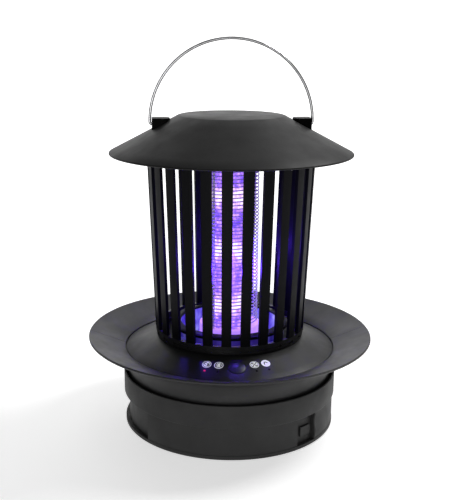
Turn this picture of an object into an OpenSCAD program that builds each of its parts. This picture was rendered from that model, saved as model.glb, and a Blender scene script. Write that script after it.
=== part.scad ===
// Lantern-style electric bug zapper: a round base, an upturned two-piece brim, a sloping control
// deck, a slatted guard round an ultraviolet lamp and its high-voltage grid, and a conical roof
// with a wire bail. Millimetres, +Z up, origin at the middle of the underside, controls facing -Y.

/* [Base] */
// Outer radius of the foot plate and of the aprons
foot_r = 104.6; // [104.2:0.1:105.2]
// Outer radius of the collar round the top of the base
collar_r = 105.8; // [105.5:0.1:108]
// Height of the collar's rim above the ground
collar_top = 54.8; // [50:0.2:58]
// Height of the collar's lower edge
collar_low = 32; // [30:1:34]

/* [Brim and deck] */
// Radius of the brim's rim
brim_r = 139.8; // [130:0.2:150]
// Height of the brim's rim
brim_z = 91.2; // [86:0.2:94]
// Radius of the control deck's edge
deck_r = 103; // [102:0.2:103.6]
// Height of the control deck's edge
deck_edge_z = 77.6; // [77:0.1:79]
// Fall of the deck per unit of radius
deck_fall = 0.412; // [0.38:0.001:0.44]

/* [Guard] */
// Number of slats round the guard
slat_count = 26; // [20:2:28]
// Angle that one slat covers, in degrees
slat_angle = 7.2; // [5:0.2:8]
// Outer radius of the guard at its foot
guard_foot_r = 73.3; // [72:0.1:73.6]
// Growth of the guard's radius per unit of height
guard_taper = 0.041; // [0.03:0.001:0.06]
// Height at which the slats end under the roof
slat_top = 264.4; // [255:0.2:265]

/* [Grid and lamp] */
// Radius of the wire grid, to the middle of the wire
grid_r = 27; // [25:0.5:28]
// Diameter of the grid wire
grid_wire_d = 1.2; // [1:0.1:2]
// Rise of each grid wire per turn, with two wires wound between each other
grid_pitch = 7; // [6:0.5:12]

/* [Roof and bail] */
// Outer radius of the roof
roof_r = 116.5; // [110:0.5:125]
// Radius of the flat on top of the roof
roof_flat_r = 50.4; // [40:0.2:52]
// Height of the flat on top of the roof
roof_top = 305.4; // [300:0.2:310]
// Height of the roof's lower lip
roof_lip = 269; // [268:0.2:270]
// Diameter of the bail wire
bail_d = 2.8; // [2:0.1:3.2]
// Height of the bail's pivot
pivot_z = 297; // [296:0.5:298]

/* [Hidden] */
$fn = 96;
EPS = 0.01;

// Wall thickness of the moulded shells
wall = 2.4;
plate_low = 0.8;
plate_top = 4.8;
foot_pad_r = 8;
foot_ring_r = 84;
foot_recess = 1.2;
boss_r = 4.4;
boss_ring_r = 93;
screw_r = 1.4;
screw_fit = 0.05;
screw_head_r = 3;
core_r = 100.6;
core_wall = 2.1;
ledge_z = 34;
ledge_in_r = 87;
collar_wall = 1.8;
apron_wall = 2;
// Azimuths, from the front towards +X, of the raised aprons round the base
aprons = [[-52, 33.5], [46.5, 250]];
recesses = [[33.5, 46.5], [250, 308]];
apron_r = foot_r - 0.3;
port_az = 40;
port_z = 17;

bowl_r = 98.2;
bowl_wall = 2.2;
bowl_low = 34.2;
bowl_floor = 36.4;
bowl_high = 76.8;
skirt_r = 101.3;
skirt_in_r = 98.8;
skirt_low = 34.3;
brim_skin = 2.3;
brim_slope = 0.37;
// Step in the brim where the deck's edge sits, with a narrow gap round it
brim_step_r = 103.9;
brim_ledge_z = deck_edge_z - 2.35;
brim_tilt = atan(brim_slope);
brim_fillet = 24;
// The brim's two halves meet a little behind the middle
brim_seam = 92.5;
seam_gap = 0.25;

deck_wall = 2.3;
deck_tilt = atan(deck_fall);
deck_floor_r = 72.9;
deck_floor_z = deck_edge_z + deck_fall * (deck_r - deck_floor_r);
spigot_r = 69.5;
spigot_h = 4.4;
cup_hole_r = 51.4;
button_r = 8;
button_gap = 0.4;
button_ring_r = 86.4;
icon_r = 4.3;
icon_deep = 0.5;
icon_ring_r = 83.9;
led_r = 1.1;
led_ring_r = 91.6;
icon_azimuths = [-18.9, -11.25, 11.25, 18.9];

cup_r = 51;
cup_wall = 1.8;
cup_low = 76;
cup_top = 101.6;
grid_base_r = 30;
grid_base_top = 98.5;
grid_low = 101.5;
grid_high = 256.5;
post_r = 1.4;
post_ring_r = grid_r - grid_wire_d / 2 - post_r - 0.3;
post_top = 258.5;
grid_cap_top = 262.5;
lamp_low = grid_base_top;
lamp_top = 254.5;
lamp_r = 21;
lamp_wall = 1.4;
lamp_core_r = 9;
led_levels = [124, 178, 229];
led_size = 3.5;

guard_low = deck_floor_z + 0.2;
guard_band = 99.4;
ring_wall = 3.4;
liner_z = 269.6;
liner_t = 1.6;
liner_r = 106;
flange_t = 3;
flange_in_r = 69;
guard_screw_r = 73.5;
roof_fall = 0.538;

bail_r = 77.3;
bail_centre_z = 298.8;
bail_bend = bail_centre_z - pivot_z;
lug_in = 58.4;
lug_out = 75.4;
lug_top = 302.8;
lug_width = 18;
pin_in = 70.2;

function guard_radius(z) = guard_foot_r + guard_taper * (z - guard_low);
function arc(c, r, a0, a1, n) =
    [for (i = [0:n]) c + r * [cos(a0 + (a1 - a0) * i / n), sin(a0 + (a1 - a0) * i / n)]];

// A ring of rectangular section
module ring(r_out, r_in, z_low, z_high) {
    translate([0, 0, z_low])
        difference() {
            cylinder(r = r_out, h = z_high - z_low);
            translate([0, 0, -1]) cylinder(r = r_in, h = z_high - z_low + 2);
        }
}

// A profile turned from azimuth a0 to a1, measured from the front towards +X
module sector(a0, a1) {
    rotate([0, 0, a0 - 90]) rotate_extrude(angle = a1 - a0) children();
}

// Puts children on the deck's slope, with their +Z along its outward normal
module on_deck(azimuth, r, lift = 0) {
    rotate([0, 0, azimuth])
        translate([0, -r, deck_edge_z + deck_fall * (deck_r - r)])
            rotate([deck_tilt, 0, 0])
                translate([0, 0, lift]) children();
}

// Puts children at each azimuth of a ring
module around(azimuths, r) {
    for (a = azimuths) rotate([0, 0, a]) translate([0, -r, 0]) children();
}

feet_azimuths = [for (i = [0:3]) 45 + 90 * i];
base_screw_azimuths = [for (i = [0:3]) 15 + 90 * i];
roof_screw_azimuths = [for (i = [0:3]) 45 + 90 * i];

module base_plate() {
    color([0.06, 0.06, 0.06])
        difference() {
            rotate_extrude()
                polygon([[0, plate_low], [foot_r - 1, plate_low], [foot_r, plate_low + 1],
                    [foot_r, plate_top], [0, plate_top]]);
            around(feet_azimuths, foot_ring_r)
                translate([0, 0, -1]) cylinder(r = foot_pad_r + 0.1, h = 1 + plate_low + foot_recess);
            around(base_screw_azimuths, boss_ring_r) {
                cylinder(r = screw_r + 0.2, h = plate_top + 1);
                cylinder(r = screw_head_r + 0.2, h = plate_low + 2);
            }
        }
}

module rubber_feet() {
    color([0.03, 0.03, 0.03])
        around(feet_azimuths, foot_ring_r) {
            cylinder(r1 = foot_pad_r - 0.6, r2 = foot_pad_r, h = 0.6);
            translate([0, 0, 0.6 - EPS])
                cylinder(r = foot_pad_r, h = plate_low + foot_recess - 0.6);
        }
}

module base_screws() {
    color([0.6, 0.6, 0.62])
        around(base_screw_azimuths, boss_ring_r)
            difference() {
                union() {
                    translate([0, 0, 0.9]) cylinder(r = screw_head_r, h = 1.9);
                    translate([0, 0, 2]) cylinder(r = screw_r, h = 14);
                }
                translate([-2, -0.4, 0]) cube([4, 0.8, 1.6]);
                translate([-0.4, -2, 0]) cube([0.8, 4, 1.6]);
            }
}

module base_housing() {
    cut_h = collar_low - plate_top + 0.6;
    color([0.1, 0.1, 0.1])
        difference() {
            union() {
                // Collar with a rounded rim, shelf, and the wall below with the aprons all round
                rotate_extrude()
                    polygon(concat(
                        [[ledge_in_r, collar_low], [core_r - core_wall, collar_low],
                            [core_r - core_wall, plate_top], [apron_r, plate_top],
                            [apron_r, collar_low], [collar_r - 1.2, collar_low]],
                        arc([collar_r - 1.2, collar_low + 1.2], 1.2, -90, 0, 4),
                        arc([collar_r - 0.9, collar_top - 0.9], 0.9, 0, 180, 8),
                        [[collar_r - collar_wall, ledge_z], [ledge_in_r, ledge_z]]));
                around(base_screw_azimuths, boss_ring_r)
                    translate([0, 0, plate_top]) cylinder(r = boss_r, h = collar_low - plate_top + 1);
            }
            // Hollow behind each apron, open below, with an end wall left at each side
            for (p = aprons)
                sector(p[0] + 1.2, p[1] - 1.2)
                    translate([core_r, plate_top - 1]) square([apron_r - apron_wall - core_r, cut_h]);
            // Recesses between the aprons, back to the core wall
            for (g = recesses)
                sector(g[0], g[1])
                    translate([core_r, plate_top - 1]) square([6, cut_h]);
            around(base_screw_azimuths, boss_ring_r)
                translate([0, 0, plate_top - 1]) cylinder(r = screw_r + screw_fit, h = 14);
            around([port_az], core_r)
                translate([-5.2, -4, port_z - 2.2]) cube([10.4, 8, 4.4]);
        }
}

module base_gasket() {
    color([0.02, 0.02, 0.02]) ring(collar_r - collar_wall - 0.1, skirt_r + 0.1, ledge_z + 0.1, ledge_z + 6);
}

module port_socket() {
    color([0.7, 0.7, 0.72])
        around([port_az], core_r - core_wall - 3.6)
            difference() {
                translate([-4.6, -4.8, port_z - 1.7]) cube([9.2, 8, 3.4]);
                translate([-4, -5, port_z - 1.2]) cube([8, 5.5, 2.4]);
            }
}

// Rubber flap over the charging port, hinged along its lower edge
module port_flap() {
    color([0.04, 0.04, 0.04])
        around([port_az], core_r + 0.3) {
            translate([-6.5, -1.6, port_z - 3.6]) cube([13, 1.6, 8.2]);
            translate([-3.6, -0.1, port_z - 1.4]) cube([7.2, 1.1, 2.8]);
            translate([-6.5, -0.8, port_z - 4]) rotate([0, 90, 0]) cylinder(r = 0.8, h = 13);
        }
}

module battery_cells() {
    color([0.12, 0.35, 0.6])
        for (x = [-19.5, 0, 19.5])
            translate([x, 33, 17.6]) rotate([90, 0, 0]) cylinder(r = 9.2, h = 65);
}

module battery_tray() {
    color([0.08, 0.08, 0.08])
        difference() {
            translate([-32, -37, plate_top]) cube([64, 75, 14]);
            translate([-30, -34, plate_top + 2]) cube([60, 69, 13]);
            for (x = [-9.75, 9.75]) translate([x - 4, -40, plate_top + 6]) cube([8, 6, 9]);
        }
}

module bowl() {
    color([0.1, 0.1, 0.1])
        difference() {
            union() {
                rotate_extrude()
                    polygon([[0, bowl_low], [bowl_r, bowl_low],
                        [bowl_r, bowl_high], [bowl_r - bowl_wall, bowl_high],
                        [bowl_r - bowl_wall, bowl_floor], [0, bowl_floor]]);
                // Standoffs for the control board
                for (x = [-30, 30], y = [18, 58])
                    translate([x, y, bowl_floor - EPS]) cylinder(r = 3, h = 6 + EPS);
            }
            translate([0, 0, bowl_low - 1]) cylinder(r = 5, h = 5);
        }
}

function brim_over(r) = brim_z - brim_slope * (brim_r - 0.7 - r);
function brim_under(r) = brim_over(r) - brim_skin / cos(brim_tilt);
fillet_c = [skirt_r + brim_fillet, brim_under(skirt_r + brim_fillet) - brim_fillet / cos(brim_tilt)];

module brim_profile() {
    polygon(concat(
        [[skirt_in_r, skirt_low], [skirt_r, skirt_low]],
        arc(fillet_c, brim_fillet, 180, 90 + brim_tilt, 12),
        [[brim_r - 1, brim_under(brim_r - 1)], [brim_r, brim_z - 1.7], [brim_r, brim_z - 0.7],
            [brim_r - 0.7, brim_z], [brim_step_r + 0.4, brim_over(brim_step_r + 0.4)],
            [brim_step_r, brim_over(brim_step_r) - 0.4], [brim_step_r, brim_ledge_z],
            [skirt_in_r, brim_ledge_z]]));
}

module brim_front() {
    color([0.13, 0.13, 0.13]) sector(-brim_seam + seam_gap / 2, brim_seam - seam_gap / 2) brim_profile();
}

module brim_rear() {
    color([0.13, 0.13, 0.13]) sector(brim_seam, 360 - brim_seam) brim_profile();
}

// Plates under the brim that join its halves across each seam
module brim_clips() {
    clip_t = 1.6;
    color([0.05, 0.05, 0.05])
        for (a = [-brim_seam, brim_seam])
            sector(a - 4, a + 4)
                polygon([[120, brim_under(120) - clip_t - 0.1], [134, brim_under(134) - clip_t - 0.1],
                    [134, brim_under(134) - 0.1], [120, brim_under(120) - 0.1]]);
}

module deck() {
    color([0.1, 0.1, 0.1])
        difference() {
            union() {
                rotate_extrude()
                    polygon([[deck_r - 0.6, deck_edge_z - deck_wall], [deck_r, deck_edge_z - deck_wall + 0.6],
                        [deck_r, deck_edge_z - 0.3], [deck_r - 0.4, deck_edge_z],
                        [deck_floor_r, deck_floor_z], [cup_hole_r, deck_floor_z],
                        [cup_hole_r, deck_floor_z - wall], [deck_floor_r - 1, deck_floor_z - wall]]);
                // Spigot that centres the guard
                ring(spigot_r, spigot_r - 2.6, deck_floor_z - EPS, deck_floor_z + spigot_h);
                // Guide sleeve round the button
                on_deck(0, button_ring_r, -7) cylinder(r = button_r + 2, h = 6);
            }
            on_deck(0, button_ring_r, -10) cylinder(r = button_r + button_gap, h = 20);
            for (a = icon_azimuths) {
                on_deck(a, icon_ring_r, -icon_deep) cylinder(r = icon_r + 0.05, h = 2);
                on_deck(a, led_ring_r, -5) cylinder(r = led_r + 0.05, h = 10);
            }
        }
}

module icon_discs() {
    color([0.9, 0.9, 0.9])
        for (a = icon_azimuths)
            on_deck(a, icon_ring_r, -icon_deep + 0.01) cylinder(r = icon_r, h = icon_deep);
}

module led_lens(azimuth) {
    on_deck(azimuth, led_ring_r, -4) cylinder(r = led_r, h = 4);
    on_deck(azimuth, led_ring_r, -5) cylinder(r = led_r + 0.6, h = 1.4);
}

module led_lens_lit() {
    color([1, 0.05, 0.05]) led_lens(icon_azimuths[0]);
}

module led_lenses_dark() {
    color([0.02, 0.02, 0.02]) for (i = [1:3]) led_lens(icon_azimuths[i]);
}

// Domed cap with a stem that meets the switch, and a flange that stops it coming out
module mode_button() {
    dome_h = 1.5;
    dome_r = (button_r * button_r + dome_h * dome_h) / (2 * dome_h);
    color([0.12, 0.12, 0.12])
        on_deck(0, button_ring_r, -8.8) {
            cylinder(r = button_r, h = 9);
            cylinder(r = button_r + 1.2, h = 1.4);
            intersection() {
                translate([0, 0, 9 + dome_h - dome_r]) sphere(r = dome_r);
                translate([0, 0, 9 - EPS]) cylinder(r = button_r, h = dome_h + 1);
            }
            translate([0, 0, -1.6]) cylinder(r = 2, h = 2);
        }
}

module switch_board() {
    color([0.05, 0.3, 0.15])
        on_deck(0, button_ring_r, 0) {
            difference() {
                translate([-24, -7.6, -16.6]) cube([48, 15.2, 1.6]);
                for (x = [-20, 20]) translate([x, 0, -18]) cylinder(r = 1.6, h = 4);
            }
            // Tactile switch
            translate([-3, -3, -15 - EPS]) cube([6, 6, 2.6]);
        }
}

module control_board() {
    color([0.05, 0.35, 0.2])
        union() {
            difference() {
                translate([-36, 12, bowl_floor + 6.1]) cube([72, 52, 1.6]);
                for (x = [-30, 30], y = [18, 58])
                    translate([x, y, bowl_floor]) cylinder(r = 1.6, h = 10);
            }
            // Capacitor, controller chip and connector
            translate([-20, 50, bowl_floor + 7.7 - EPS]) cylinder(r = 5, h = 14);
            translate([-6, 26, bowl_floor + 7.7 - EPS]) cube([12, 12, 1.6]);
            translate([14, 48, bowl_floor + 7.7 - EPS]) cube([12, 6, 6]);
        }
}

module hv_module() {
    color([0.75, 0.72, 0.6])
        difference() {
            translate([-24, -46, bowl_floor + 0.1]) cube([48, 40, 24]);
            for (x = [-12, 12]) translate([x, -26, bowl_floor + 18]) cylinder(r = 1.1, h = 8);
        }
}

// The two insulated leads from the high-voltage module up to the grid
module hv_leads() {
    color([0.8, 0.1, 0.1])
        for (x = [-12, 12])
            translate([x, -26, bowl_floor + 18]) cylinder(r = 1, h = cup_low - bowl_floor - 18 + 6);
}

module catch_cup() {
    color([0.75, 0.8, 1, 0.5])
        difference() {
            rotate_extrude()
                polygon([[0, cup_low], [cup_r, cup_low], [cup_r, deck_floor_z + 0.1],
                    [cup_r + 3, deck_floor_z + 0.1],
                    [cup_r + 3, deck_floor_z + 1.5], [cup_r, deck_floor_z + 1.5], [cup_r, cup_top],
                    [cup_r - cup_wall, cup_top], [cup_r - cup_wall, cup_low + 2], [0, cup_low + 2]]);
            for (x = [-12, 12]) translate([x, -26, cup_low - 1]) cylinder(r = 1.1, h = 4);
        }
}

module cup_rim() {
    color([0.03, 0.03, 0.03])
        rotate_extrude()
            polygon([[cup_r - cup_wall - 0.5, cup_top], [cup_r + 0.3, cup_top],
                [cup_r + 5.6, cup_top - 0.6], [cup_r + 5.6, cup_top - 2],
                [cup_r + 6.8, cup_top - 2], [cup_r + 6.8, cup_top + 0.1], [cup_r + 6, cup_top + 0.8],
                [cup_r - cup_wall, cup_top + 1.6], [cup_r - cup_wall - 0.5, cup_top + 1.3]]);
}

// Pedestal of the grid and lamp, standing in the cup
module grid_base() {
    color([0.85, 0.8, 0.9])
        difference() {
            union() {
                translate([0, 0, cup_low + 2]) cylinder(r = grid_base_r, h = grid_base_top - cup_low - 2);
                ring(grid_base_r, grid_base_r - 1.6, grid_base_top - EPS, grid_base_top + 1.6);
            }
            for (x = [-12, 12]) translate([x, -26, cup_low]) cylinder(r = 1.1, h = 7);
        }
}

module grid_posts() {
    color([0.9, 0.9, 0.92])
        around([for (i = [0:3]) 45 + 90 * i], post_ring_r)
            translate([0, 0, grid_base_top]) cylinder(r = post_r, h = post_top - grid_base_top);
}

// One grid wire: a round section swept along a helix
helix_steps = 18;
helix_sides = 5;
module grid_wire(phase) {
    turns = (grid_high - grid_low) / grid_pitch;
    rings = floor(turns * helix_steps);
    wire_r = grid_wire_d / 2;
    function section(k) = let (a = phase + 360 * k / helix_steps, z = grid_low + grid_pitch * k / helix_steps)
        [for (s = [0:helix_sides - 1]) let (b = 360 * s / helix_sides, r = grid_r + wire_r * cos(b))
            [r * cos(a), r * sin(a), z + wire_r * sin(b)]];
    points = [for (k = [0:rings]) each section(k)];
    walls = [for (k = [0:rings - 1], s = [0:helix_sides - 1]) let (t = (s + 1) % helix_sides)
        [k * helix_sides + s, k * helix_sides + t, (k + 1) * helix_sides + t, (k + 1) * helix_sides + s]];
    ends = [[for (s = [helix_sides - 1:-1:0]) s], [for (s = [0:helix_sides - 1]) rings * helix_sides + s]];
    polyhedron(points, concat(walls, ends));
}

module grid_wire_a() {
    color([0.75, 0.75, 0.78]) grid_wire(0);
}

module grid_wire_b() {
    color([0.75, 0.75, 0.78]) grid_wire(180);
}

module grid_cap() {
    color([0.05, 0.05, 0.05])
        difference() {
            translate([0, 0, post_top]) cylinder(r = grid_base_r, h = grid_cap_top - post_top);
            translate([0, 0, post_top - 1]) cylinder(r = 6, h = grid_cap_top);
        }
}

// Six-sided heat-sink post that carries the light boards
module lamp_core() {
    color([0.8, 0.8, 0.82])
        translate([0, 0, lamp_low]) cylinder(r = lamp_core_r, h = lamp_top - lamp_low, $fn = 6);
}

core_flat = lamp_core_r * cos(30);
board_t = 0.8;

module on_core(side) {
    rotate([0, 0, 60 * side]) translate([0, -core_flat, 0]) children();
}

module led_boards() {
    color([0.95, 0.95, 0.95])
        for (i = [0:5])
            on_core(i) translate([-3.4, -board_t - 0.02, lamp_low + 4])
                cube([6.8, board_t, lamp_top - lamp_low - 8]);
}

module uv_leds() {
    color([0.8, 0.6, 1])
        for (i = [0:5], z = led_levels)
            on_core(i)
                translate([-led_size / 2, -board_t - 0.04 - 1, z - led_size / 2])
                    cube([led_size, 1, led_size]);
}

module lamp_tube() {
    color([0.6, 0.4, 1, 0.4]) ring(lamp_r, lamp_r - lamp_wall, lamp_low, lamp_top);
}

module lamp_cap() {
    color([0.9, 0.9, 0.9])
        difference() {
            translate([0, 0, lamp_top]) cylinder(r = lamp_r, h = post_top - lamp_top);
            translate([0, 0, lamp_top + 1]) cylinder(r = 5, h = 5);
        }
}

// Band round the guard's foot, stepped, with a notch under each slat
module guard_lower_ring() {
    notch_h = 2.6;
    color([0.05, 0.05, 0.05])
        difference() {
            rotate_extrude()
                polygon(concat(
                    [[guard_foot_r - ring_wall, guard_low]],
                    arc([guard_foot_r - 2.4, guard_low + 2], 2, -90, 0, 5),
                    [[guard_foot_r - 0.4, guard_low + 5.4], [guard_radius(guard_low + 5.8), guard_low + 5.8],
                        [guard_radius(guard_band), guard_band], [guard_foot_r - ring_wall, guard_band]]));
            for (i = [0:slat_count - 1])
                sector((i + 0.5) * 360 / slat_count - 3, (i + 0.5) * 360 / slat_count + 3)
                    translate([guard_foot_r - 1.6, guard_low + 5.4 - notch_h]) square([4, notch_h]);
        }
}

module guard_slats() {
    slat_t = 3;
    color([0.06, 0.06, 0.06])
        for (i = [0:slat_count - 1])
            sector((i + 0.5) * 360 / slat_count - slat_angle / 2,
                (i + 0.5) * 360 / slat_count + slat_angle / 2)
                polygon([[guard_radius(guard_band) - slat_t, guard_band],
                    [guard_radius(guard_band), guard_band],
                    [guard_radius(slat_top), slat_top], [guard_radius(slat_top) - slat_t, slat_top]]);
}

module guard_upper_ring() {
    color([0.05, 0.05, 0.05])
        difference() {
            rotate_extrude()
                polygon([[guard_radius(slat_top) - ring_wall, slat_top], [guard_radius(slat_top), slat_top],
                    [guard_radius(liner_z), liner_z], [flange_in_r, liner_z],
                    [flange_in_r, liner_z - flange_t],
                    [guard_radius(slat_top) - ring_wall, liner_z - flange_t]]);
            around(roof_screw_azimuths, guard_screw_r)
                translate([0, 0, liner_z - 5]) cylinder(r = screw_r + 0.2, h = 6);
        }
}

// Socket under the roof that steadies the grid's cap
module grid_locator() {
    color([0.05, 0.05, 0.05])
        difference() {
            translate([0, 0, post_top + 0.4]) cylinder(r = grid_base_r + 3, h = liner_z - post_top - 0.4);
            translate([0, 0, post_top]) cylinder(r = grid_base_r + 0.5, h = liner_z - post_top - 4);
            translate([0, 0, post_top]) cylinder(r = grid_base_r - 3, h = liner_z);
        }
}

module roof_liner() {
    color([0.07, 0.07, 0.07])
        difference() {
            translate([0, 0, liner_z]) cylinder(r = liner_r, h = liner_t);
            around(roof_screw_azimuths, guard_screw_r)
                translate([0, 0, liner_z - 1]) cylinder(r = screw_r + 0.2, h = 4);
        }
}

module roof_screws() {
    color([0.6, 0.6, 0.62])
        around(roof_screw_azimuths, guard_screw_r) {
            translate([0, 0, liner_z - flange_t - 1.8]) cylinder(r = screw_head_r, h = 1.8);
            translate([0, 0, liner_z - flange_t - 1]) cylinder(r = screw_r, h = 14);
        }
}

function roof_over(r) = roof_top - roof_fall * (r - roof_flat_r);
// Upper end of the rolled lip, where the straight slope starts
function roof_edge() = [roof_r - 1 + cos(60), roof_lip + 1 + sin(60)];

module roof_canopy() {
    in_drop = wall / cos(atan(roof_fall));
    color([0.14, 0.14, 0.14])
        difference() {
            union() {
                rotate_extrude()
                    polygon(concat(
                        [[0, roof_top - wall], [roof_flat_r - 0.6, roof_top - wall],
                            [roof_r - 3.2, roof_over(roof_r - 3.2) - in_drop], [roof_r - 2.6, roof_lip]],
                        [[roof_r - 1, roof_lip]],
                        arc([roof_r - 1, roof_lip + 1], 1, -90, 60, 5),
                        [[roof_flat_r + 0.8, roof_over(roof_flat_r + 0.8)],
                            [roof_flat_r - 0.8, roof_top], [0, roof_top]]));
                // Screw bosses, ending inside the roof's skin
                intersection() {
                    around(roof_screw_azimuths, guard_screw_r)
                        translate([0, 0, liner_z + liner_t]) cylinder(r = 4, h = 24);
                    translate([0, 0, -1]) roof_cone();
                }
            }
            around(roof_screw_azimuths, guard_screw_r)
                translate([0, 0, liner_z]) cylinder(r = screw_r + screw_fit, h = 12);
        }
}

// The roof's slope as a solid, to seat the lugs on it
module roof_cone() {
    edge = roof_edge();
    crown = roof_over(roof_flat_r + 0.8);
    translate([0, 0, edge[1] + 0.02]) cylinder(r1 = edge[0], r2 = roof_flat_r + 0.8, h = crown - edge[1]);
}

// Block on the roof's slope that holds one end of the bail
module bail_lug() {
    color([0.02, 0.02, 0.02])
        difference() {
            intersection() {
                translate([lug_in, -lug_width / 2, pivot_z - 8])
                    cube([lug_out - lug_in, lug_width, lug_top - pivot_z + 8]);
                // Rounded inner end, seen from above
                translate([lug_in + lug_width / 2 + 4, 0, pivot_z - 10])
                    cylinder(r = lug_width / 2 + 4, h = 30);
            }
            roof_cone();
            translate([pin_in - 0.8, 0, pivot_z]) rotate([0, 90, 0])
                cylinder(r = bail_d / 2 + 0.06, h = 20);
        }
}

module bail_lug_right() {
    bail_lug();
}

module bail_lug_left() {
    mirror([1, 0, 0]) bail_lug();
}

module bail_wire() {
    color([0.75, 0.75, 0.77])
        union() {
            translate([0, 0, bail_centre_z]) rotate([90, 0, 0])
                rotate_extrude(angle = 180) translate([bail_r, 0]) circle(d = bail_d, $fn = 32);
            for (side = [0, 1])
                mirror([side, 0, 0]) {
                    // Bend from the arch into the pivot
                    translate([bail_r - bail_bend, 0, bail_centre_z]) rotate([90, 0, 0]) rotate([0, 0, -90])
                        rotate_extrude(angle = 90) translate([bail_bend, 0]) circle(d = bail_d, $fn = 32);
                    translate([pin_in, 0, pivot_z]) rotate([0, 90, 0])
                        cylinder(d = bail_d, h = bail_r - bail_bend - pin_in + EPS, $fn = 32);
                }
        }
}

base_plate();
rubber_feet();
base_screws();
base_housing();
base_gasket();
port_socket();
port_flap();
battery_cells();
battery_tray();
bowl();
brim_front();
brim_rear();
brim_clips();
deck();
icon_discs();
led_lens_lit();
led_lenses_dark();
mode_button();
switch_board();
control_board();
hv_module();
hv_leads();
catch_cup();
cup_rim();
grid_base();
grid_posts();
grid_wire_a();
grid_wire_b();
grid_cap();
lamp_core();
led_boards();
uv_leds();
lamp_tube();
lamp_cap();
guard_lower_ring();
guard_slats();
guard_upper_ring();
grid_locator();
roof_liner();
roof_screws();
roof_canopy();
bail_lug_left();
bail_lug_right();
bail_wire();
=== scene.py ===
import bpy
import math
from mathutils import Matrix, Vector

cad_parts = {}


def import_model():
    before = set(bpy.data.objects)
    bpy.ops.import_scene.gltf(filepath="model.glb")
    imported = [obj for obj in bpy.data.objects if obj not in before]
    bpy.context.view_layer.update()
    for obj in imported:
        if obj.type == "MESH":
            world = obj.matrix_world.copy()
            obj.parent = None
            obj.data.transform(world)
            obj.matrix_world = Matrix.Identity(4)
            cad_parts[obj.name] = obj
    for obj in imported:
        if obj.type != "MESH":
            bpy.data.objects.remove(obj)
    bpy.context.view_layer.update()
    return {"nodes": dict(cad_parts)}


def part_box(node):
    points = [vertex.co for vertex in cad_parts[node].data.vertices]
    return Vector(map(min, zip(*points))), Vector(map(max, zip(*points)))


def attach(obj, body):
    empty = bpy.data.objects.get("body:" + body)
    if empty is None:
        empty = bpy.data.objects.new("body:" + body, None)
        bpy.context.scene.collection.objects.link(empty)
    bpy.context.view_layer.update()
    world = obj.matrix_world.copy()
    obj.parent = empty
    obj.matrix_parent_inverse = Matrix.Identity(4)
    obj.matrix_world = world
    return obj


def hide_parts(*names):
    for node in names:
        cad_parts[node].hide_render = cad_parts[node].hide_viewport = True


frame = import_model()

N = frame["nodes"]
mm = 0.001


# ---------------------------------------------------------------- camera
def camera():
    """The photograph's viewpoint, solved from its outlines."""
    yaw, pitch, roll = math.radians(3.81), math.radians(14.02), math.radians(0.33)
    x, y, z = -0.0700, -0.8419, 0.3825
    # The frame, and in its units the focal length and the point the camera faces
    frame_w, frame_h, sensor = 450, 500, 36
    focal, centre_x, centre_y = 886.2, 216.1, 251.9
    fwd = Vector((math.sin(yaw) * math.cos(pitch), math.cos(yaw) * math.cos(pitch), -math.sin(pitch)))
    right = Vector((math.cos(yaw), -math.sin(yaw), 0))
    up = right.cross(fwd)
    c, s = math.cos(roll), math.sin(roll)
    right, up = right * c + up * s, up * c - right * s
    data = bpy.data.cameras.new("camera")
    cam = bpy.data.objects.new("camera", data)
    bpy.context.scene.collection.objects.link(cam)
    cam.matrix_world = Matrix((
        (right.x, up.x, -fwd.x, x),
        (right.y, up.y, -fwd.y, y),
        (right.z, up.z, -fwd.z, z),
        (0, 0, 0, 1)))
    data.sensor_width = sensor
    data.lens = sensor * focal / frame_h
    data.shift_x = (frame_w / 2 - centre_x) / frame_h
    data.shift_y = (centre_y - frame_h / 2) / frame_h
    data.clip_start, data.clip_end = 0.01, 50
    bpy.context.scene.camera = cam


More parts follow.
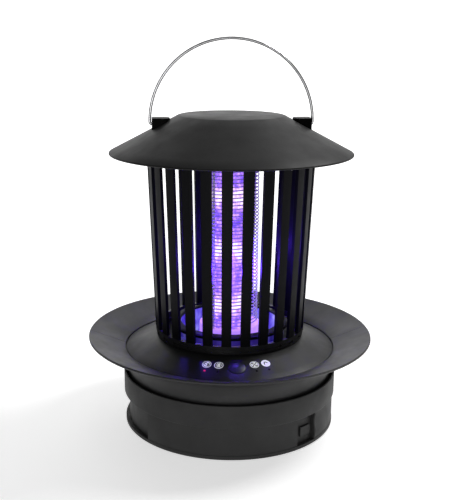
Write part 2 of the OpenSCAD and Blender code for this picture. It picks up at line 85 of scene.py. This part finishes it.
# ---------------------------------------------------------------- materials
class Tree:
    """Short helper for building a node tree."""

    def __init__(self, name):
        self.mat = bpy.data.materials.new(name)
        self.mat.use_nodes = True
        self.nt = self.mat.node_tree
        self.nt.nodes.clear()
        self.out = self.new("ShaderNodeOutputMaterial")
        self.bsdf = self.new("ShaderNodeBsdfPrincipled")
        self.link(self.bsdf, "BSDF", self.out, "Surface")
        self.coord = self.new("ShaderNodeTexCoord")

    def new(self, kind, **values):
        n = self.nt.nodes.new(kind)
        for k, v in values.items():
            setattr(n, k, v)
        return n

    def link(self, a, out, b, inp):
        self.nt.links.new(a.outputs[out], b.inputs[inp])

    def set(self, **values):
        for k, v in values.items():
            self.bsdf.inputs[k.replace("_", " ")].default_value = v

    def emit(self, colour, strength):
        self.bsdf.inputs["Emission Color"].default_value = (*colour, 1)
        self.bsdf.inputs["Emission Strength"].default_value = strength

    def noise(self, scale, detail=3, rough=0.5, stretch=(1, 1, 1)):
        m = self.new("ShaderNodeMapping")
        m.inputs["Scale"].default_value = stretch
        self.link(self.coord, "Object", m, "Vector")
        n = self.new("ShaderNodeTexNoise")
        n.inputs["Scale"].default_value = scale
        n.inputs["Detail"].default_value = detail
        n.inputs["Roughness"].default_value = rough
        self.link(m, "Vector", n, "Vector")
        return n

    def ramp(self, src, out, stops):
        r = self.new("ShaderNodeValToRGB")
        e = r.color_ramp.elements
        while len(e) > 1:
            e.remove(e[-1])
        e[0].position, e[0].color = stops[0][0], (*stops[0][1], 1)
        for p, c in stops[1:]:
            n = e.new(p)
            n.color = (*c, 1)
        self.link(src, out, r, "Fac")
        return r

    def span(self, src, out, lo, hi, a=0.0, b=1.0):
        m = self.new("ShaderNodeMapRange")
        for k, v in (("From Min", lo), ("From Max", hi), ("To Min", a), ("To Max", b)):
            m.inputs[k].default_value = v
        self.link(src, out, m, "Value")
        return m

    def bump(self, src, out, strength, distance, under=None):
        b = self.new("ShaderNodeBump")
        b.inputs["Strength"].default_value = strength
        b.inputs["Distance"].default_value = distance
        self.link(src, out, b, "Height")
        if under is not None:
            self.link(under, "Normal", b, "Normal")
        return b


def grey(v):
    return (v, v, v)


# Grey of the flecks laid on surfaces that face up
UP_FLECK_GREY = (0.20, 0.20, 0.205, 1)
# Sockets of a Mix node that mixes colours
MIX_FACTOR, MIX_A, MIX_B, MIX_RESULT = 0, 6, 7, 2


def plastic(name, dark, light, rough=(0.42, 0.58), grain=900, depth=0.00006, tint=(1, 1, 1), up_fleck=0.0,
            shine=0.5):
    """Moulded plastic: mottled colour, uneven gloss, fine grain, and light grey flecks, strongest on what
    faces up.
    """
    t = Tree(name)
    mottle = t.noise(14, 4, 0.55)
    low, high = [tuple(v * k for k in tint) for v in (dark, light)]
    col = t.ramp(mottle, "Fac", [(0.3, low), (0.7, high)])
    last, out = col, "Color"
    # Grey flecks in noise specks, more of them the more a surface faces up
    if up_fleck:
        normal = t.new("ShaderNodeSeparateXYZ")
        t.link(t.coord, "Normal", normal, "Vector")
        facing = t.span(normal, "Z", 0.2, 0.95)
        speck = t.noise(60, 5, 0.65)
        much = t.new("ShaderNodeMath", operation="MULTIPLY")
        t.link(facing, "Result", much, 0)
        t.link(speck, "Fac", much, 1)
        share = t.span(much, "Value", 0.25, 0.8, 0, up_fleck)
        mix = t.new("ShaderNodeMix", data_type="RGBA")
        t.link(share, "Result", mix, MIX_FACTOR)
        t.link(col, "Color", mix, MIX_A)
        mix.inputs[MIX_B].default_value = UP_FLECK_GREY
        last, out = mix, MIX_RESULT
    t.link(last, out, t.bsdf, "Base Color")
    smudge = t.noise(45, 4, 0.6)
    r = t.span(smudge, "Fac", 0.3, 0.7, rough[0], rough[1])
    t.link(r, "Result", t.bsdf, "Roughness")
    fine = t.noise(grain, 2, 0.6)
    wave = t.noise(30, 2, 0.5)
    waved = t.bump(wave, "Fac", 0.12, 0.0004)
    grained = t.bump(fine, "Fac", 0.35, depth, waved)
    t.link(grained, "Normal", t.bsdf, "Normal")
    t.bsdf.inputs["Specular IOR Level"].default_value = shine
    return t


def metal(name, col, rough, streak, stretch=(1, 1, 1), relief=0.12):
    """Bare metal with a slightly uneven tone and gloss."""
    t = Tree(name)
    n = t.noise(streak, 3, 0.5, stretch)
    c = t.ramp(n, "Fac", [(0.3, tuple(v * 0.86 for v in col)), (0.7, col)])
    t.link(c, "Color", t.bsdf, "Base Color")
    r = t.span(n, "Fac", 0.3, 0.7, rough * 0.8, rough * 1.35)
    t.link(r, "Result", t.bsdf, "Roughness")
    t.set(Metallic=1.0)
    b = t.bump(n, "Fac", relief, 0.00004)
    t.link(b, "Normal", t.bsdf, "Normal")
    return t


def glowing(name, stops, strength, scale, alpha=1.0, bands=()):
    """A lit surface: mottled, with brighter bands at heights where diodes sit behind it."""
    t = Tree(name)
    t.set(Roughness=0.25, Alpha=alpha)
    t.bsdf.inputs["Base Color"].default_value = (0.10, 0.06, 0.22, 1)
    value, out = t.noise(scale, 3, 0.6, (1, 1, 0.6)), "Fac"
    if bands:
        place = t.new("ShaderNodeSeparateXYZ")
        t.link(t.coord, "Object", place, "Vector")
    for level, width in bands:
        above = t.new("ShaderNodeMath", operation="SUBTRACT")
        above.inputs[1].default_value = level
        t.link(place, "Z", above, 0)
        away = t.new("ShaderNodeMath", operation="ABSOLUTE")
        t.link(above, "Value", away, 0)
        near = t.span(away, "Value", width, width * 0.25, 0, 0.30)
        total = t.new("ShaderNodeMath", operation="ADD")
        t.link(value, out, total, 0)
        t.link(near, "Result", total, 1)
        value, out = total, "Value"
    col = t.ramp(value, out, stops)
    t.link(col, "Color", t.bsdf, "Emission Color")
    t.bsdf.inputs["Emission Strength"].default_value = strength
    return t


def milky(name, col, alpha, rough, glow, strength):
    """A cloudy, slightly see-through plastic with light inside it."""
    t = Tree(name)
    n = t.noise(35, 3, 0.5)
    c = t.ramp(n, "Fac", [(0.3, tuple(v * 0.85 for v in col)), (0.7, col)])
    t.link(c, "Color", t.bsdf, "Base Color")
    a = t.span(n, "Fac", 0.35, 0.65, alpha * 0.8, alpha)
    t.link(a, "Result", t.bsdf, "Alpha")
    r = t.span(n, "Fac", 0.3, 0.7, rough, rough * 3)
    t.link(r, "Result", t.bsdf, "Roughness")
    t.emit(glow, strength)
    return t


def cup_clear():
    """The lit catch cup: bright inside, where the lamp shines on it, and dim outside."""
    t = glowing("cup_clear", [(0.36, (0.015, 0.008, 0.26)), (0.50, (0.07, 0.05, 0.55)),
                              (0.60, (0.20, 0.18, 0.75)), (0.72, (0.50, 0.50, 0.90))], 0.8, 70, 0.85)
    outward = t.new("ShaderNodeVectorMath", operation="DOT_PRODUCT")
    t.link(t.coord, "Object", outward, 0)
    t.link(t.coord, "Normal", outward, 1)
    dim = t.span(outward, "Value", -0.01, 0.02, 0.85, 0.30)
    t.link(dim, "Result", t.bsdf, "Emission Strength")
    return t


M = {}
M["base"] = plastic("base_plastic", 0.013, 0.020, (0.50, 0.66), 700, 0.00008, up_fleck=0.05, shine=0.35)
M["brim"] = plastic("brim_plastic", 0.012, 0.018, (0.40, 0.52), 900, 0.00005, (1, 0.985, 1.03), 0.07, 0.4)
M["deck"] = plastic("deck_plastic", 0.007, 0.012, (0.40, 0.52), 900, 0.00005, up_fleck=0.05, shine=0.32)
M["guard"] = plastic("guard_plastic", 0.0012, 0.0024, (0.40, 0.52), 900, 0.00005, (1, 1, 1.6), shine=0.09)
M["roof"] = plastic("roof_plastic", 0.003, 0.005, (0.46, 0.58), 620, 0.00007, up_fleck=0.02, shine=0.26)
M["lug"] = plastic("lug_plastic", 0.0004, 0.001, (0.3, 0.45), 900, 0.00004, shine=0.03)
M["button"] = plastic("button_plastic", 0.010, 0.016, (0.36, 0.48), 1200, 0.00004, shine=0.4)
# Painted light: the guard's lower ring is the guard's own plastic, made lighter and glossier here to stand
# in for light on it where it sits in shade
M["ring"] = plastic("guard_ring_plastic", 0.006, 0.010, (0.36, 0.48), 900, 0.00005, (1, 1, 1.1), shine=0.35)
M["rubber"] = plastic("rubber", 0.010, 0.016, (0.70, 0.85), 1400, 0.00008)
M["wire"] = metal("bail_steel", (0.62, 0.62, 0.63), 0.22, 60, relief=0.02)
M["grid"] = metal("grid_steel", (0.52, 0.46, 0.70), 0.34, 300)
# Painted light: a weak violet glow on the grid wires stands in for the lamp's light falling on them
M["grid"].emit((0.25, 0.12, 0.9), 0.22)
M["screw"] = metal("screw_steel", (0.55, 0.55, 0.57), 0.3, 1500)
M["core"] = metal("core_aluminium", (0.75, 0.75, 0.78), 0.35, 900, (1, 1, 0.05))
M["icon"] = plastic("icon_white", 0.78, 0.86, (0.25, 0.35), 1500, 0.00001)
# Painted light: the white discs glow weakly, standing in for the lamp's light falling on them so they read
# white
M["icon"].emit((0.95, 1.0, 1.0), 0.34)
M["glyph"] = plastic("glyph_ink", 0.008, 0.02, (0.4, 0.5), 1500, 0.00001, (0.9, 0.95, 1.2))
M["white"] = plastic("lamp_white", 0.62, 0.72, (0.3, 0.45), 1200, 0.00002)
M["circuit"] = plastic("circuit_green", 0.05, 0.09, (0.35, 0.5), 1200, 0.00003, (0.2, 1.0, 0.45))
M["potting"] = plastic("potting", 0.24, 0.32, (0.4, 0.6), 800, 0.00006, (1, 0.93, 0.7))
M["lead"] = plastic("lead_red", 0.35, 0.45, (0.35, 0.5), 1200, 0.00003, (1, 0.04, 0.04))
M["cell"] = plastic("cell_wrap", 0.10, 0.16, (0.2, 0.3), 1200, 0.00002, (0.25, 0.7, 2.0))
M["red"] = glowing("led_red", [(0.3, (0.8, 0.005, 0.008)), (0.7, (1.0, 0.03, 0.03))], 0.9, 900)
M["dark"] = plastic("led_dark", 0.003, 0.006, (0.12, 0.2), 1500, 0.00001)
VIOLET = [(0.32, (0.07, 0.03, 0.60)), (0.44, (0.20, 0.09, 0.84)), (0.56, (0.42, 0.20, 0.88)),
          (0.67, (0.66, 0.38, 0.94)), (0.80, (0.98, 0.80, 1.0))]
# Heights of the three rings of diodes in the lamp, and the half width of the bright band at each
BAND = 0.014
DIODE_BANDS = [(z, BAND) for z in (0.124, 0.178, 0.229)]
M["tube"] = glowing("lamp_tube_violet", VIOLET, 1.35, 240, bands=DIODE_BANDS)
M["diode"] = glowing("diode_lit", [(0.3, (0.9, 0.7, 1.0)), (0.7, (1.0, 0.9, 1.0))], 3.0, 900)
M["cup"] = cup_clear()
M["pedestal"] = milky("pedestal_milky", (0.62, 0.50, 0.90), 0.95, 0.2, (0.55, 0.28, 0.80), 0.75)

LOOK = {
    "base_plate": "base", "rubber_feet": "rubber", "base_screws": "screw", "base_housing": "base",
    "base_gasket": "rubber", "port_socket": "screw", "port_flap": "base", "battery_cells": "cell",
    "battery_tray": "base", "bowl": "base", "brim_front": "brim", "brim_rear": "brim",
    "brim_clips": "brim", "deck": "deck", "icon_discs": "icon", "led_lens_lit": "red",
    "led_lenses_dark": "dark", "mode_button": "button", "switch_board": "circuit",
    "control_board": "circuit", "hv_module": "potting", "hv_leads": "lead", "catch_cup": "cup",
    "cup_rim": "guard", "grid_base": "pedestal", "grid_posts": "white", "grid_wire_a": "grid",
    "grid_wire_b": "grid", "grid_cap": "guard", "lamp_core": "core", "led_boards": "white",
    "uv_leds": "diode", "lamp_tube": "tube", "lamp_cap": "white", "guard_lower_ring": "ring",
    "guard_slats": "guard", "guard_upper_ring": "guard", "grid_locator": "guard",
    "roof_liner": "roof", "roof_screws": "screw", "roof_canopy": "roof", "bail_lug_left": "lug",
    "bail_lug_right": "lug", "bail_wire": "wire",
}


WELD_DISTANCE = 1e-6
SHARP_ANGLE = math.radians(40)


def dress(node):
    """Gives a CAD node its material and smooth shading with sharp edges kept."""
    o = N[node]
    mat = M[LOOK[node]].mat
    if not o.material_slots:
        o.data.materials.append(mat)
    for s in o.material_slots:
        s.material = mat
    for p in o.data.polygons:
        p.use_smooth = True
    weld = o.modifiers.new("weld", "WELD")
    weld.merge_threshold = WELD_DISTANCE
    edges = o.modifiers.new("edges", "EDGE_SPLIT")
    edges.split_angle = SHARP_ANGLE


for name in LOOK:
    dress(name)


# ---------------------------------------------------------------- pieces
def piece(name, verts, faces, mat, body, smooth=True):
    """A new mesh object that rides on a body."""
    me = bpy.data.meshes.new(name)
    me.from_pydata([Vector(v) for v in verts], [], faces)
    me.update()
    o = bpy.data.objects.new(name, me)
    bpy.context.scene.collection.objects.link(o)
    me.materials.append(M[mat].mat)
    for p in me.polygons:
        p.use_smooth = smooth
    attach(o, body)
    return o


def tube(points, radius, sides):
    """Vertices and faces of a round tube along points, closed at both ends."""
    pts = [Vector(p) for p in points]
    last = len(pts) - 1
    verts, faces = [], []
    side = None
    for i, p in enumerate(pts):
        along = (pts[min(i + 1, last)] - pts[max(i - 1, 0)]).normalized()
        if side is None:
            side = Vector((0, 0, 1)) if abs(along.z) < 0.9 else Vector((1, 0, 0))
        side = (side - along * side.dot(along)).normalized()
        up = along.cross(side)
        for k in range(sides):
            w = 2 * math.pi * k / sides
            verts.append(p + (side * math.cos(w) + up * math.sin(w)) * radius)
    for i in range(last):
        for k in range(sides):
            m = (k + 1) % sides
            faces.append((i * sides + k, i * sides + m, (i + 1) * sides + m, (i + 1) * sides + k))
    faces.append(tuple(range(sides))[::-1])
    faces.append(tuple(last * sides + k for k in range(sides)))
    return verts, faces


# Grid: two fine wires wound between each other, at the radius and over the height of the CAD's
# wires, with 22 turns where those have 22.1
GRID_R, GRID_WIRE_R = 27 * mm, 0.6 * mm
GRID_TURNS, TURN_STEPS = 22, 48


def helix(name, node, phase):
    """A smooth coil in place of one CAD grid wire."""
    lo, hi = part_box(node)
    low, high = lo.z + GRID_WIRE_R, hi.z - GRID_WIRE_R
    pitch = (high - low) / GRID_TURNS
    pts = []
    for k in range(GRID_TURNS * TURN_STEPS + 1):
        a = phase + 2 * math.pi * k / TURN_STEPS
        pts.append((GRID_R * math.cos(a), GRID_R * math.sin(a), low + pitch * k / TURN_STEPS))
    verts, faces = tube(pts, GRID_WIRE_R, 8)
    o = piece(name, verts, faces, "grid", "base")
    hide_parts(node)


helix("grid_coil_a", "grid_wire_a", 0.0)
helix("grid_coil_b", "grid_wire_b", math.pi)

# Pictograms printed on the four white discs of the deck: the deck's edge radius and height, how
# steeply it rises inward, and the radius of the circle on which the discs sit
DECK_R, DECK_Z, DECK_FALL = 0.103, 0.0776, 0.412
ICON_RING_R = 83.9 * mm
INK = 0.06 * mm


def on_deck(azimuth, r):
    """Frame on the deck's slope, with Z square to it and Y pointing up the slope."""
    z = DECK_Z + DECK_FALL * (DECK_R - r)
    return (Matrix.Rotation(math.radians(azimuth), 4, "Z") @ Matrix.Translation((0, -r, z))
            @ Matrix.Rotation(math.atan(DECK_FALL), 4, "X"))


def ribbon(points, width, closed):
    """Flat stroke along 2-D points, as a closed thin solid."""
    n = len(points)
    top, low, faces = [], [], []
    for i in range(n):
        a = points[(i - 1) % n] if closed or i else points[i]
        b = points[(i + 1) % n] if closed or i < n - 1 else points[i]
        d = Vector((b[0] - a[0], b[1] - a[1])).normalized()
        q = Vector((-d.y, d.x)) * width / 2
        for sgn in (-1, 1):
            x, y = points[i][0] + sgn * q.x, points[i][1] + sgn * q.y
            top.append((x, y, INK))
            low.append((x, y, 0.0))
    m = len(top)
    for i in range(n if closed else n - 1):
        j = (i + 1) % n
        a, b, c, d = 2 * i, 2 * i + 1, 2 * j + 1, 2 * j
        faces += [(a, b, c, d)[::-1], (m + a, m + b, m + c, m + d),
                  (a, d, m + d, m + a), (c, b, m + b, m + c)]
    if not closed:
        faces += [(0, m, m + 1, 1), (m - 2, m - 1, 2 * m - 1, 2 * m - 2)]
    return top + low, faces


def oval(cx, cy, rx, ry, start=0, end=360, n=28):
    """Points along an oval, from one angle to another in degrees; a full one repeats its first."""
    angles = [math.radians(start + (end - start) * i / n) for i in range(n + 1)]
    return [(cx + rx * math.cos(a), cy + ry * math.sin(a)) for a in angles]


OUTLINE = (oval(0, 0, 3.45, 3.45), 0.5, True)


def glyph(name, azimuth, strokes):
    """One pictogram, from strokes given as points in mm, a width in mm, and whether it closes."""
    verts, faces = [], []
    frame_on_deck = on_deck(azimuth, ICON_RING_R)
    for pts, width, closed in strokes:
        pts = [(x * mm, y * mm) for x, y in pts]
        if closed:
            pts = pts[:-1]
        v, f = ribbon(pts, width * mm, closed)
        base = len(verts)
        verts += [frame_on_deck @ Vector(q) for q in v]
        faces += [tuple(i + base for i in q) for q in f]
    o = piece(name, verts, faces, "glyph", "base", False)


glyph("icon_plug", -18.9, [
    OUTLINE, (oval(0.3, -0.3, 1.1, 1.3, -90, 90), 1.4, False),
    ([(1.3, 0.6), (3.2, 0.6)], 0.8, False), ([(1.3, -1.2), (3.2, -1.2)], 0.8, False),
    (oval(-0.6, 1.0, 2.0, 1.5, 90, 262), 0.7, False)])
glyph("icon_moth", -11.25, [
    OUTLINE, (oval(-2.3, 0.1, 0.7, 1.9), 0.8, True),
    (oval(2.3, 0.1, 0.7, 1.9), 0.8, True), ([(-0.5, 2.0), (-1.2, 3.3)], 0.6, False),
    ([(0.5, 2.0), (1.2, 3.3)], 0.6, False), ([(-1.3, -2.4), (1.3, -2.4)], 0.6, False)])
glyph("icon_no_touch", 11.25, [
    OUTLINE, ([(-2.4, -2.4), (2.4, 2.4)], 0.8, False),
    ([(-2.6, 1.4), (-0.9, 2.0), (-1.1, 0.4)], 1.1, False),
    ([(2.6, -1.4), (0.9, -2.0), (1.1, -0.4)], 1.1, False)])
glyph("icon_arch", 18.9, [
    (oval(0, 0.1, 1.5, 1.5, -10, 180), 1.1, False), ([(-1.5, 0.1), (-1.5, -1.7)], 1.1, False)])


def pocket_bead():
    """Bead down the edge of the charging pocket, with the moulding's double bend."""
    radius, bead_r = 104.2 * mm, 1.1 * mm
    azimuth, swing, lean = 46.7, 0.55, 0.25      # degrees
    low, rise, steps = 6.0, 24.4, 40             # mm, mm and a count
    pts = []
    for k in range(steps + 1):
        u = k / steps
        a = math.radians(azimuth + swing * math.sin(2 * math.pi * u) + lean * u)
        pts.append((radius * math.sin(a), -radius * math.cos(a), (low + rise * u) * mm))
    verts, faces = tube(pts, bead_r, 12)
    o = piece("pocket_bead", verts, faces, "base", "base")


pocket_bead()
camera()


# ---------------------------------------------------------------- stage and light
def stage():
    """A plain white sweep: floor, curve and back wall in one sheet."""
    near, far, half, bend, high, steps = -5.0, 3.2, 5.0, 1.2, 4.0, 12
    rows = [(near, 0.0), (-1.0, 0.0), (1.0, 0.0), (far - bend, 0.0)]
    for k in range(1, steps + 1):
        a = math.pi / 2 * k / steps
        rows.append((far - bend + bend * math.sin(a), bend - bend * math.cos(a)))
    rows.append((far, high))
    verts = [(x, y, z) for y, z in rows for x in (-half, half)]
    faces = [(2 * i, 2 * i + 1, 2 * i + 3, 2 * i + 2) for i in range(len(rows) - 1)]
    me = bpy.data.meshes.new("floor")
    me.from_pydata(verts, [], faces)
    for q in me.polygons:
        q.use_smooth = True
    o = bpy.data.objects.new("floor", me)
    bpy.context.scene.collection.objects.link(o)
    t = Tree("floor")
    n = t.noise(3, 2, 0.5)
    c = t.ramp(n, "Fac", [(0.3, grey(0.84)), (0.7, grey(0.87))])
    t.link(c, "Color", t.bsdf, "Base Color")
    t.set(Roughness=0.9)
    t.bsdf.inputs["Emission Color"].default_value = (1, 1, 1, 1)
    # It glows more toward the back, and less at the sides
    axis = t.new("ShaderNodeSeparateXYZ")
    t.link(t.coord, "Object", axis, "Vector")
    lift = t.span(axis, "Y", -0.2, 2.6, 0.58, 1.0)
    side = t.new("ShaderNodeMath", operation="ABSOLUTE")
    t.link(axis, "X", side, 0)
    widen = t.new("ShaderNodeMath", operation="MULTIPLY_ADD")
    widen.inputs[1].default_value = -0.33
    t.link(axis, "Y", widen, 0)
    t.link(side, "Value", widen, 2)
    fall = t.span(widen, "Value", 0.40, 1.1, 1.0, 0.22)
    both = t.new("ShaderNodeMath", operation="MULTIPLY")
    t.link(lift, "Result", both, 0)
    t.link(fall, "Result", both, 1)
    t.link(both, "Value", t.bsdf, "Emission Strength")
    me.materials.append(t.mat)


# The middle of the object, without its bail
AIM = (0, 0, 0.15)


def area(name, where, size, power):
    """A round soft light that faces the middle of the object."""
    d = bpy.data.lights.new(name, "AREA")
    d.shape, d.size, d.energy = "DISK", size, power
    o = bpy.data.objects.new(name, d)
    bpy.context.scene.collection.objects.link(o)
    o.location = where
    o.rotation_mode = "QUATERNION"
    o.rotation_quaternion = (Vector(where) - Vector(AIM)).to_track_quat("Z", "Y")


GLOWS, GLOW_RING_R, GLOW_Z = 5, 0.048, 0.165
GLOW_POWER, GLOW_COLOUR, GLOW_SIZE = 0.18, (0.10, 0.03, 1.0), 0.006


def glow(k):
    """One of the small violet lights between the grid and the slats, for the lamp's own light."""
    name = "glow_%d" % k
    d = bpy.data.lights.new(name, "POINT")
    d.energy, d.color, d.shadow_soft_size = GLOW_POWER, GLOW_COLOUR, GLOW_SIZE
    o = bpy.data.objects.new(name, d)
    bpy.context.scene.collection.objects.link(o)
    a = math.radians(-90 + 360 / GLOWS * k)
    o.location = (GLOW_RING_R * math.cos(a), GLOW_RING_R * math.sin(a), GLOW_Z)


def world(strength):
    """Dim even light from all round."""
    w = bpy.data.worlds.new("world")
    bpy.context.scene.world = w
    w.use_nodes = True
    nt = w.node_tree
    nt.nodes.clear()
    out = nt.nodes.new("ShaderNodeOutputWorld")
    bg = nt.nodes.new("ShaderNodeBackground")
    bg.inputs["Color"].default_value = (1, 1, 1, 1)
    bg.inputs["Strength"].default_value = strength
    nt.links.new(bg.outputs[0], out.inputs[0])


stage()
world(0.13)
area("key", (1.3, 0.5, 1.9), 0.8, 26)
area("top", (0.1, 0.5, 2.0), 1.0, 2)
area("front", (-0.5, -1.9, 0.3), 0.9, 8)
for k in range(GLOWS):
    glow(k)

s = bpy.context.scene
s.view_settings.view_transform = "Standard"
s.view_settings.look = "None"
